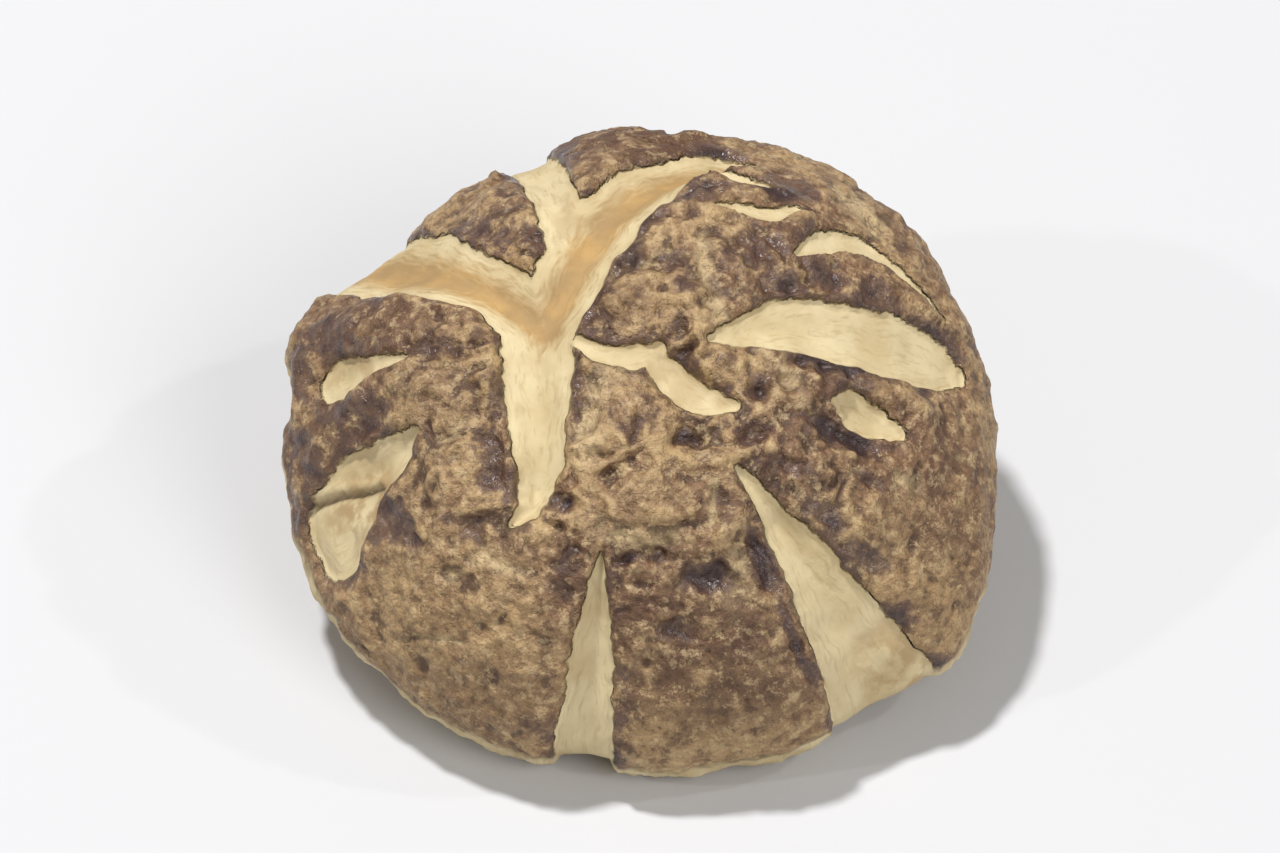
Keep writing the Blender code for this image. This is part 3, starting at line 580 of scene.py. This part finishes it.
def cap_piece(finish):
    """The cap: plates of skin over pale flesh, with a rolled margin."""
    bm = bmesh.new()
    bmesh.ops.create_cube(bm, size=2.0)
    bmesh.ops.subdivide_edges(bm, edges=bm.edges[:], cuts=CAP_CUTS - 1, use_grid_fill=True)
    corners = np.tan(np.array([v.co for v in bm.verts]) * math.pi / 4)
    direction = corners / np.linalg.norm(corners, axis=1)[:, None]
    down = np.arccos(np.clip(direction[:, 2], -1.0, 1.0)) / math.pi
    arc = np.interp(down, (0.0, OUTSIDE_SHARE, 1.0), (0.0, LIP_ARC + 3.0, ALL_ARC))
    azimuth = np.arctan2(direction[:, 1], direction[:, 0])
    smooth = cap_points(arc, azimuth)
    place_vertices(bm, smooth)
    normals = np.array([v.normal for v in bm.verts])

    outside = 1.0 - smooth_step((arc - (LIP_ARC - 3.0)) / 3.0)
    edge, half, slope, tan = crack_field(smooth)
    thick = np.clip(half, 0.0, 1.0)
    for k, (wander, length) in enumerate(EDGE_WANDER):
        room = np.clip(1.6 * half / length, 0.0, 1.0) * np.clip(1.5 * half, 0.0, 1.0)
        edge = edge + wander * rough(smooth + 7.0 * k, length) * room
    edge = edge - EDGE_WIDENING * np.clip(half / 0.3, 0.0, 1.0)
    on_skin = smooth_step((edge + 0.1) / 0.5)
    high, low = SKIN_EDGE
    step = SKIN_THICKNESS * smooth_step((high - edge) / (high - low))
    slope = slope * (1.0 - 0.6 * smooth_step((arc - 19.0) / 5.0))
    shoulders = SHOULDER_DROP * np.exp(-np.maximum(edge, 0.0) / SHOULDER_REACH) * thick

    lumps, stain, crease, calm, shade, dull_and_shaded = seen_marks(smooth, normals)
    middle = (1.0 - smooth_step((arc - 9.0) / 12.0)) * (1.0 - 0.6 * calm)
    wave = WAVE_HEIGHT * rough(smooth, WAVE_LENGTH) + RIPPLE_HEIGHT * rough(smooth + 40.0, RIPPLE_LENGTH)
    wave = wave + margin_swelling(smooth)
    around = np.stack([np.cos(azimuth), np.sin(azimuth)], axis=1) * 16.0
    ray_place = np.column_stack([around, 0.18 * arc])
    bent = smooth + 1.3 * np.column_stack([rough(smooth + k, 2.2) for k in (5.0, 15.0, 25.0)])
    ridges = (1.0 - furrows(bent, RIDGES[2]) - 0.25) * np.clip(1.5 * rough(smooth + 50.0, 4.5) + 0.2, -0.6, 1.0)
    wrinkles = -CREASE_DEPTH * crease
    for pattern, (at_middle, at_margin, length) in (
        (ridges, RIDGES),
        (rough(smooth + 3.0, CRUMPLE[2]), CRUMPLE),
        (rough(smooth + 13.0, PUCKER[2]), PUCKER),
        (rough(ray_place, RAYS[2]), RAYS),
        (np.exp(-((rough(bent + 70.0, FOLDS[2]) / FOLD_WIDTH) ** 2)) - 0.2, FOLDS),
    ):
        wrinkles = wrinkles + (at_margin + (at_middle - at_margin) * middle) * pattern
    flesh_place = np.column_stack([2.4 * edge + 0.6 * rough(smooth + 80.0, 1.7), 0.5 * smooth[:, :2]])
    flap, slot = flap_marks(smooth)
    flesh_lines = 0.04 * (1.0 - dull_and_shaded) * rough(flesh_place, 1.0) + 0.10 * dull_and_shaded * rough(smooth + 90.0, 1.1) + flap
    surface = on_skin * (1.6 * lumps + wrinkles) + (1.0 - on_skin) * flesh_lines
    relief = outside * (wave + surface - shoulders - step - slope)
    place_vertices(bm, smooth + normals * relief[:, None])
    press_on_surface(bm)

    curled = np.exp(-np.maximum(edge, 0.0) / 0.8) * np.clip(0.35 + 1.4 * rough(smooth + 60.0, 2.6), 0.0, 1.0)
    layers = {
        "skin_edge": edge,
        "tan": tan,
        "arc": arc,
        # How raised the skin is, which the finish turns into painted light on the tops and painted shade in the pits.
        "raised": np.clip(0.5 + 1.5 * wrinkles + 0.3 * lumps, 0.0, 1.0),
        "stain": np.maximum(stain, 0.9 * curled * thick),
        "crease": crease,
        "calm": calm,
        "shade": shade,
        "dull_and_shaded": dull_and_shaded,
        "slot": slot,
        "rays": ray_place,
        "flesh_place": flesh_place,
    }
    return finished_piece("cap_surface", bm, finish, layers, "cap")


def press_on_surface(bm):
    """Flattens what would reach below the surface that the margin rests on."""
    up = LEAN.to_3x3().inverted() @ Vector((0.0, 0.0, 1.0))
    for vertex in bm.verts:
        depth = (LEAN @ vertex.co).z
        if depth < 0.0:
            vertex.co -= up * depth


def gill_piece(finish):
    """The gills: one ring folded into long and short blades."""
    bm = bmesh.new()
    outline = (*GILL_ROOT, *GILL_EDGE)
    corners = [bm.verts.new((r, 0.0, z)) for r, z in outline]
    ring = [bm.edges.new((corners[i - 1], corners[i])) for i in range(len(corners))]
    columns = 8 * GILLS
    bmesh.ops.spin(bm, geom=corners + ring, cent=(0, 0, 0), axis=(0, 0, 1), angle=2 * math.pi,
                   steps=columns, use_merge=True)  # fmt: skip
    edge_line = np.array(GILL_EDGE)
    root_line = np.array(sorted(GILL_ROOT))
    inner, outer = edge_line[0, 0], edge_line[-1, 0]
    depth_into = []
    for vertex in bm.verts:
        azimuth = math.atan2(vertex.co.y, vertex.co.x)
        radius = math.hypot(vertex.co.x, vertex.co.y)
        height = np.interp(radius, edge_line[:, 0], edge_line[:, 1])
        root = np.interp(radius, root_line[:, 0], root_line[:, 1])
        into = 0.0
        if abs(vertex.co.z - height) < 0.05:
            column = round(azimuth / (2 * math.pi) * columns) % 8
            ragged = 0.12 * noise.noise(Vector((18 * math.cos(azimuth), 18 * math.sin(azimuth), 0.6 * radius)))
            if column in (0, 1):
                vertex.co.z += ragged
            elif column in (4, 5):
                started = smooth_step((radius - SHORT_GILL_START - 3.0 * ragged / 0.12) / 1.5)
                into = 1.0 - 0.92 * float(started)
            else:
                into = 1.0
            deep = min(GILL_DEPTH, 0.75 * (root - height))
            vertex.co.z += into * deep
        # Blade edges get 0, the gaps and the flesh above them 1, which the finish paints as shade.
        depth_into.append(into if vertex.co.z < root - 0.05 else 1.0)
        sway = 0.010 * noise.noise(Vector((3 * math.cos(azimuth), 3 * math.sin(azimuth), 0.35 * radius)))
        share = float(outline_share(np.array(azimuth)))
        grown = inner + (radius - inner) * (outer * share - inner) / (outer - inner)
        vertex.co.x = grown * math.cos(azimuth + sway)
        vertex.co.y = grown * math.sin(azimuth + sway)
    bmesh.ops.recalc_face_normals(bm, faces=bm.faces[:])
    return finished_piece("gill_blades", bm, finish, {"between": depth_into}, "gills")


def stem_piece(finish):
    """The stem: a fibrous stalk cut off level with the surface."""
    bm = bmesh.new()
    bmesh.ops.create_cone(bm, cap_ends=True, segments=STEM_SIDES, radius1=1.0, radius2=1.0, depth=1.0)
    sides = [e for e in bm.edges if abs(e.verts[0].co.z - e.verts[1].co.z) > 0.5]
    bmesh.ops.subdivide_edges(bm, edges=sides, cuts=STEM_LOOPS)
    stations = curve_through(STEM_STATIONS, 140)[1][::-1]
    for vertex in bm.verts:
        height = float(np.interp(vertex.co.z + 0.5, (0.0, 1.0), (stations[0, 0], stations[-1, 0])))
        radius, x, y = (float(np.interp(height, stations[:, 0], stations[:, k])) for k in (1, 2, 3))
        place = Vector((vertex.co.x * radius, vertex.co.y * radius, height))
        swell = 0.35 * noise.noise(Vector((place.x, place.y, 0.35 * height)) / 3.0)
        fibre = 0.16 * noise.noise(Vector((place.x, place.y, 0.10 * height)) / 0.55)
        fibre += 0.08 * noise.noise(Vector((place.x, place.y, 0.05 * height)) / 0.25)
        shown = float(smooth_step((2.0 - height) / 2.5))
        grown = 1.0 + (swell * shown + fibre) / radius
        vertex.co = (x + place.x * grown, y + place.y * grown, height)
    back = LEAN.inverted()
    cut = bmesh.ops.bisect_plane(
        bm,
        geom=bm.verts[:] + bm.edges[:] + bm.faces[:],
        plane_co=back @ Vector((0.0, 0.0, 0.0)),
        plane_no=back.to_3x3() @ Vector((0.0, 0.0, -1.0)),
        clear_outer=True,
    )
    rim = [e for e in cut["geom_cut"] if isinstance(e, bmesh.types.BMEdge)]
    bmesh.ops.contextual_create(bm, geom=rim)
    bmesh.ops.recalc_face_normals(bm, faces=bm.faces[:])
    return finished_piece("stem_stalk", bm, finish, {}, "stem")


def maths(tree, operation, *values):
    made = tree.nodes.new("ShaderNodeMath")
    made.operation = operation
    for i, value in enumerate(values):
        if isinstance(value, (int, float)):
            made.inputs[i].default_value = value
        else:
            tree.links.new(value, made.inputs[i])
    return made.outputs[0]


def between(tree, value, low, high):
    """0 to 1 as value goes smoothly from low to high."""
    made = tree.nodes.new("ShaderNodeMapRange")
    made.interpolation_type = "SMOOTHSTEP"
    tree.links.new(value, made.inputs["Value"])
    made.inputs["From Min"].default_value = low
    made.inputs["From Max"].default_value = high
    return made.outputs["Result"]


def blended(tree, factor, first, second):
    """Two colours, or colour sockets, mixed by a factor."""
    made = tree.nodes.new("ShaderNodeMix")
    made.data_type = "RGBA"
    tree.links.new(factor, made.inputs["Factor"])
    for key, value in (("A", first), ("B", second)):
        socket = next(s for s in made.inputs if s.name == key and s.type == "RGBA")
        if isinstance(value, tuple):
            socket.default_value = value
        else:
            tree.links.new(value, socket)
    return next(s for s in made.outputs if s.type == "RGBA")


def layer(tree, name, output="Fac"):
    made = tree.nodes.new("ShaderNodeAttribute")
    made.attribute_name = name
    return made.outputs[output]


def object_place(tree):
    """Object coordinates in millimetres."""
    here = tree.nodes.new("ShaderNodeTexCoord").outputs["Object"]
    made = tree.nodes.new("ShaderNodeVectorMath")
    made.operation = "SCALE"
    made.inputs["Scale"].default_value = 1.0 / MM
    tree.links.new(here, made.inputs[0])
    return made.outputs[0]


def speckle(tree, place, size, detail=3.0, roughness=0.6):
    """Noise from 0 to 1 with features of about this size in millimetres."""
    made = tree.nodes.new("ShaderNodeTexNoise")
    if isinstance(size, float):
        made.inputs["Scale"].default_value = 0.5 / size
    else:
        tree.links.new(maths(tree, "DIVIDE", 0.5, size), made.inputs["Scale"])
    made.inputs["Detail"].default_value = detail
    made.inputs["Roughness"].default_value = roughness
    tree.links.new(place, made.inputs["Vector"])
    return made.outputs["Fac"]


def times(tree, first, second):
    return maths(tree, "MULTIPLY", first, second)


def scaled(tree, vector, shares):
    """A place stretched or squeezed along its three axes."""
    made = tree.nodes.new("ShaderNodeVectorMath")
    made.operation = "MULTIPLY"
    tree.links.new(vector, made.inputs[0])
    made.inputs[1].default_value = shares
    return made.outputs[0]


def bumped(tree, height, strength, depth, under=None):
    """A normal from a height of 0 to 1 that stands for this depth in millimetres."""
    made = tree.nodes.new("ShaderNodeBump")
    made.inputs["Strength"].default_value = strength
    made.inputs["Distance"].default_value = depth * MM
    tree.links.new(height, made.inputs["Height"])
    if under is not None:
        tree.links.new(under, made.inputs["Normal"])
    return made.outputs["Normal"]


def mottling_group():
    """Patches of two colours under a fine pale and dark grain: what all the dry surfaces share."""
    group = bpy.data.node_groups.new("dry_mottling", "ShaderNodeTree")
    sockets = (
        ("Place", "NodeSocketVector"),
        ("First Colour", "NodeSocketColor"),
        ("Second Colour", "NodeSocketColor"),
        ("Pale Grain", "NodeSocketColor"),
        ("Dark Grain", "NodeSocketColor"),
        ("Patch Size", "NodeSocketFloat"),
        ("Grain Size", "NodeSocketFloat"),
        ("Grain Amount", "NodeSocketFloat"),
    )
    for name, kind in sockets:
        group.interface.new_socket(name, in_out="INPUT", socket_type=kind)
    group.interface.new_socket("Colour", in_out="OUTPUT", socket_type="NodeSocketColor")
    group.interface.new_socket("Grain", in_out="OUTPUT", socket_type="NodeSocketFloat")
    given = group.nodes.new("NodeGroupInput").outputs
    taken = group.nodes.new("NodeGroupOutput").inputs
    patches = speckle(group, given["Place"], given["Patch Size"], 2.5)
    grain = speckle(group, given["Place"], given["Grain Size"], 4.0)
    mixed = blended(group, between(group, patches, 0.38, 0.62), given["First Colour"], given["Second Colour"])
    pale = times(group, between(group, grain, 0.50, 0.72), given["Grain Amount"])
    mixed = blended(group, pale, mixed, given["Pale Grain"])
    dark = times(group, between(group, grain, 0.50, 0.28), given["Grain Amount"])
    mixed = blended(group, dark, mixed, given["Dark Grain"])
    group.links.new(mixed, taken["Colour"])
    group.links.new(grain, taken["Grain"])
    return group


def mottled(tree, group, place, colours, patch_size, grain_size, grain_amount):
    """The shared mottling in one material: its colour and its grain."""
    made = tree.nodes.new("ShaderNodeGroup")
    made.node_tree = group
    tree.links.new(place, made.inputs["Place"])
    for name, code in zip(("First Colour", "Second Colour", "Pale Grain", "Dark Grain"), colours):
        made.inputs[name].default_value = colour(code)
    made.inputs["Patch Size"].default_value = patch_size
    made.inputs["Grain Size"].default_value = grain_size
    made.inputs["Grain Amount"].default_value = grain_amount
    return made.outputs["Colour"], made.outputs["Grain"]


def new_finish(name):
    made = bpy.data.materials.new(name)
    made.use_nodes = True
    tree = made.node_tree
    return made, tree, tree.nodes["Principled BSDF"]


def skin_colour(tree, mottling, here, arc, stain):
    """Brown skin: lighter tan on its raised parts as painted light and darker in its pits as painted shade, tan where
    it is creased, nearly black where it is stained.
    """
    base, grain = mottled(tree, mottling, here, ("7e5e44", "a3855f", "c2a67c", "583f2f"), 3.2, 0.26, 0.65)
    blotches = speckle(tree, here, 1.1, 5.0)
    streaks = speckle(tree, layer(tree, "rays", "Vector"), 0.32)
    raised = layer(tree, "raised")
    calm = layer(tree, "calm")
    wild = maths(tree, "SUBTRACT", 1.0, times(tree, calm, 0.6))
    skin = blended(tree, times(tree, calm, 0.45), base, colour("a5885e"))
    skin = blended(tree, times(tree, times(tree, between(tree, blotches, 0.54, 0.60), 0.70), wild), skin,
                   colour("644835"))  # fmt: skip
    streaked = times(tree, between(tree, arc, 15.0, 25.0), between(tree, streaks, 0.44, 0.60))
    skin = blended(tree, times(tree, streaked, 0.4), skin, colour("a98a60"))
    # Painted light and shade from the relief: tan on the raised parts, dark brown in the pits.
    skin = blended(tree, times(tree, between(tree, raised, 0.58, 0.82), 0.70), skin, colour("b89a6e"))
    skin = blended(tree, times(tree, between(tree, raised, 0.42, 0.22), 0.85), skin, colour("4a3428"))
    # Pale crease colour; on the two streaks at the right margin it is painted highlight.
    crease = times(tree, layer(tree, "crease"), between(tree, blotches, 0.30, 0.56))
    skin = blended(tree, times(tree, crease, 0.8), skin, colour("ccb286"))
    # Darker brown over these places: partly the skin's own tone, partly painted shade.
    shade = times(tree, layer(tree, "shade"), between(tree, blotches, 0.30, 0.50))
    skin = blended(tree, times(tree, shade, 0.8), skin, colour("583b2b"))
    flecks = speckle(tree, here, 0.6, 6.0, 0.76)
    skin = blended(tree, times(tree, between(tree, flecks, 0.47, 0.38), 0.60), skin, colour("4a3427"))
    skin = blended(tree, times(tree, between(tree, flecks, 0.55, 0.64), 0.55), skin, colour("c8ad80"))
    fine = speckle(tree, here, 0.34, 3.0, 0.72)
    skin = blended(tree, times(tree, between(tree, fine, 0.46, 0.36), 0.42), skin, colour("5a412f"))
    skin = blended(tree, times(tree, between(tree, fine, 0.54, 0.64), 0.38), skin, colour("cdb48a"))
    patchy = maths(tree, "ADD", stain, maths(tree, "MULTIPLY_ADD", blotches, 1.4, -0.7))
    patchy = maths(tree, "ADD", patchy, maths(tree, "MULTIPLY_ADD", flecks, -1.6, 0.8))
    patchy = times(tree, patchy, between(tree, stain, 0.0, 0.2))
    skin = blended(tree, times(tree, between(tree, patchy, 0.12, 0.50), 0.80), skin, colour("5c453b"))
    return blended(tree, times(tree, between(tree, patchy, 0.50, 0.95), 0.85), skin, colour("3a2d2d")), grain


def flesh_colour(tree, here, arc):
    """Cream flesh with fine lines along the cracks, tan deep in the widest, and browner under the margin."""
    place = layer(tree, "flesh_place", "Vector")
    lines = speckle(tree, place, 0.28, 3.0)
    clouds = speckle(tree, here, 1.6)
    flesh = blended(tree, between(tree, clouds, 0.35, 0.68), colour("d2c199"), colour("c2ae84"))
    # Browner flesh in these places: partly its own duller colour, partly painted shade in cracks under plates.
    browner = layer(tree, "dull_and_shaded")
    dull_and_shaded = times(tree, browner, between(tree, speckle(tree, here, 0.9, 4.0), 0.40, 0.58))
    flesh = blended(tree, dull_and_shaded, flesh, colour("a5885f"))
    deep = blended(tree, between(tree, clouds, 0.35, 0.65), colour("b8955f"), colour("a18459"))
    tan = maths(tree, "ADD", layer(tree, "tan"), maths(tree, "MULTIPLY_ADD", lines, 0.9, -0.45))
    tan = times(tree, between(tree, tan, 0.15, 0.80), between(tree, layer(tree, "tan"), 0.0, 0.25))
    flesh = blended(tree, tan, flesh, deep)
    clean = maths(tree, "MULTIPLY_ADD", browner, -0.35, 0.38)
    flesh = blended(tree, times(tree, between(tree, lines, 0.48, 0.72), clean), flesh, colour("9c8155"))
    # Painted shadow: dark brown in the slot under the flap.
    flesh = blended(tree, times(tree, layer(tree, "slot"), 0.70), flesh, colour("6a5136"))
    under = blended(tree, between(tree, clouds, 0.38, 0.62), colour("ccb78d"), colour("a88b5e"))
    return blended(tree, between(tree, arc, DOME_ARC + 1.5, DOME_ARC + 5.0), flesh, under)


def cap_finish(mottling):
    """Dark, mottled, wrinkled skin, and cream flesh in its cracks and under the margin."""
    made, tree, shader = new_finish("cracked_cap")
    here = object_place(tree)
    arc = layer(tree, "arc")
    stain = layer(tree, "stain")
    skin, grain = skin_colour(tree, mottling, here, arc, stain)
    flesh = flesh_colour(tree, here, arc)

    fray = maths(tree, "MULTIPLY_ADD", grain, 0.30, -0.15)
    edge = maths(tree, "ADD", layer(tree, "skin_edge"), fray)
    turned = maths(tree, "ADD", arc, maths(tree, "MULTIPLY_ADD", speckle(tree, here, 1.0), 2.0, -1.0))
    under = between(tree, turned, DOME_ARC - 0.6, DOME_ARC + 0.4)
    on_skin = times(tree, between(tree, edge, -0.17, -0.03), maths(tree, "SUBTRACT", 1.0, under))
    tree.links.new(blended(tree, on_skin, flesh, skin), shader.inputs["Base Color"])

    stain_gloss = maths(tree, "MULTIPLY_ADD", between(tree, stain, 0.1, 0.6), -0.34, 0.52)
    gloss = tree.nodes.new("ShaderNodeMix")
    tree.links.new(on_skin, gloss.inputs["Factor"])
    gloss.inputs["A"].default_value = 0.75
    tree.links.new(stain_gloss, gloss.inputs["B"])
    tree.links.new(gloss.outputs["Result"], shader.inputs["Roughness"])

    shader.inputs["Specular IOR Level"].default_value = 0.40
    uneven = maths(tree, "MULTIPLY_ADD", on_skin, 0.85, 0.15)
    uneven = times(tree, uneven, maths(tree, "MULTIPLY_ADD", between(tree, stain, 0.1, 0.7), -0.42, 1.0))
    pucker = times(tree, speckle(tree, here, 0.45, 4.0), uneven)
    normal = bumped(tree, pucker, 0.9, 0.50)
    tree.links.new(bumped(tree, times(tree, grain, uneven), 0.8, 0.24, normal), shader.inputs["Normal"])
    return made


def gill_finish(mottling):
    """Dry orange-tan blades, with painted shade in dark brown down between them."""
    made, tree, shader = new_finish("gill_blades")
    here = object_place(tree)
    body, grain = mottled(tree, mottling, here, ("c39049", "d9ae6c", "e3c389", "a8743a"), 1.4, 0.25, 0.5)
    # Painted shade: dark brown in the gaps between the blades and on the flesh they hang from.
    body = blended(tree, layer(tree, "between"), body, colour("7d4f24"))
    tree.links.new(body, shader.inputs["Base Color"])
    shader.inputs["Roughness"].default_value = 0.72
    tree.links.new(bumped(tree, grain, 0.4, 0.08), shader.inputs["Normal"])
    return made


def stem_finish(mottling):
    """Tan fibres, with a cream face where the stem was cut."""
    made, tree, shader = new_finish("stem_fibres")
    here = object_place(tree)
    drawn_out = scaled(tree, here, (1.0, 1.0, 0.22))
    body, fibres = mottled(tree, mottling, drawn_out, ("9c7448", "c4a06d", "dcc396", "7a5632"), 2.2, 0.22, 0.6)
    split = tree.nodes.new("ShaderNodeSeparateXYZ")
    tree.links.new(here, split.inputs[0])
    cut = blended(tree, between(tree, speckle(tree, here, 0.5, 4.0), 0.42, 0.62), colour("e2c98f"), colour("bf9c68"))
    body = blended(tree, between(tree, split.outputs["Z"], 0.5, 0.1), body, cut)
    tree.links.new(body, shader.inputs["Base Color"])
    shader.inputs["Roughness"].default_value = 0.8
    tree.links.new(bumped(tree, fibres, 0.5, 0.15), shader.inputs["Normal"])
    return made


def floor_and_light():
    floor_mesh = bpy.data.meshes.new("floor")
    bm = bmesh.new()
    bmesh.ops.create_grid(bm, x_segments=1, y_segments=1, size=3.0)
    bm.to_mesh(floor_mesh)
    bm.free()
    floor = bpy.data.objects.new("floor", floor_mesh)
    bpy.context.scene.collection.objects.link(floor)
    pale = bpy.data.materials.new("pale_floor")
    pale.use_nodes = True
    pale.node_tree.nodes["Principled BSDF"].inputs["Base Color"].default_value = colour("cdcdcf")
    pale.node_tree.nodes["Principled BSDF"].inputs["Roughness"].default_value = 0.7
    floor_mesh.materials.append(pale)

    world = bpy.data.worlds.new("studio")
    world.use_nodes = True
    world.node_tree.nodes["Background"].inputs["Color"].default_value = (1.0, 0.985, 0.96, 1.0)
    world.node_tree.nodes["Background"].inputs["Strength"].default_value = 0.25
    bpy.context.scene.world = world
    bpy.context.scene.view_settings.view_transform = "Standard"

    lights = (
        ("key", (-0.22, 0.18, 0.79), 0.08, 6.4),
        ("fill", (0.40, -0.52, 0.55), 0.50, 3.0),
        ("glint_left", (-0.62, -0.22, 0.48), 0.03, 0.7),
        ("glint_right", (0.60, 0.02, 0.58), 0.03, 0.7),
    )
    for name, place, size, watts in lights:
        lamp = bpy.data.lights.new(name, "AREA")
        lamp.shape = "DISK"
        lamp.size = size
        lamp.energy = watts
        holder = bpy.data.objects.new(name, lamp)
        holder.location = place
        holder.rotation_euler = (-Vector(place)).to_track_quat("-Z", "Y").to_euler()
        bpy.context.scene.collection.objects.link(holder)


def camera():
    """A long lens from the photograph's angle, framed on the mushroom."""
    low, high = (Vector(corner) for corner in CAD_BOX)
    middle = (low + high) / 2
    elevation = math.radians(CAMERA_ELEVATION_DEG)
    towards = Vector((0.0, -math.cos(elevation), math.sin(elevation)))
    seen_height = (high.y - low.y) * math.sin(elevation) + (high.z - low.z) * math.cos(elevation) * 0.45
    lens = bpy.data.cameras.new("camera")
    lens.sensor_width = 36.0
    seen_width = seen_height / SHARE_OF_HEIGHT * IMAGE_SIZE[0] / IMAGE_SIZE[1]
    lens.lens = lens.sensor_width * CAMERA_DISTANCE / seen_width
    lens.clip_start = 0.01
    holder = bpy.data.objects.new("camera", lens)
    holder.location = middle + CAMERA_DISTANCE * towards
    holder.rotation_euler = (-towards).to_track_quat("-Z", "Y").to_euler()
    bpy.context.scene.collection.objects.link(holder)
    bpy.context.scene.camera = holder


dry_mottling = mottling_group()
cap_piece(cap_finish(dry_mottling))
gill_piece(gill_finish(dry_mottling))
stem_piece(stem_finish(dry_mottling))
floor_and_light()
camera()
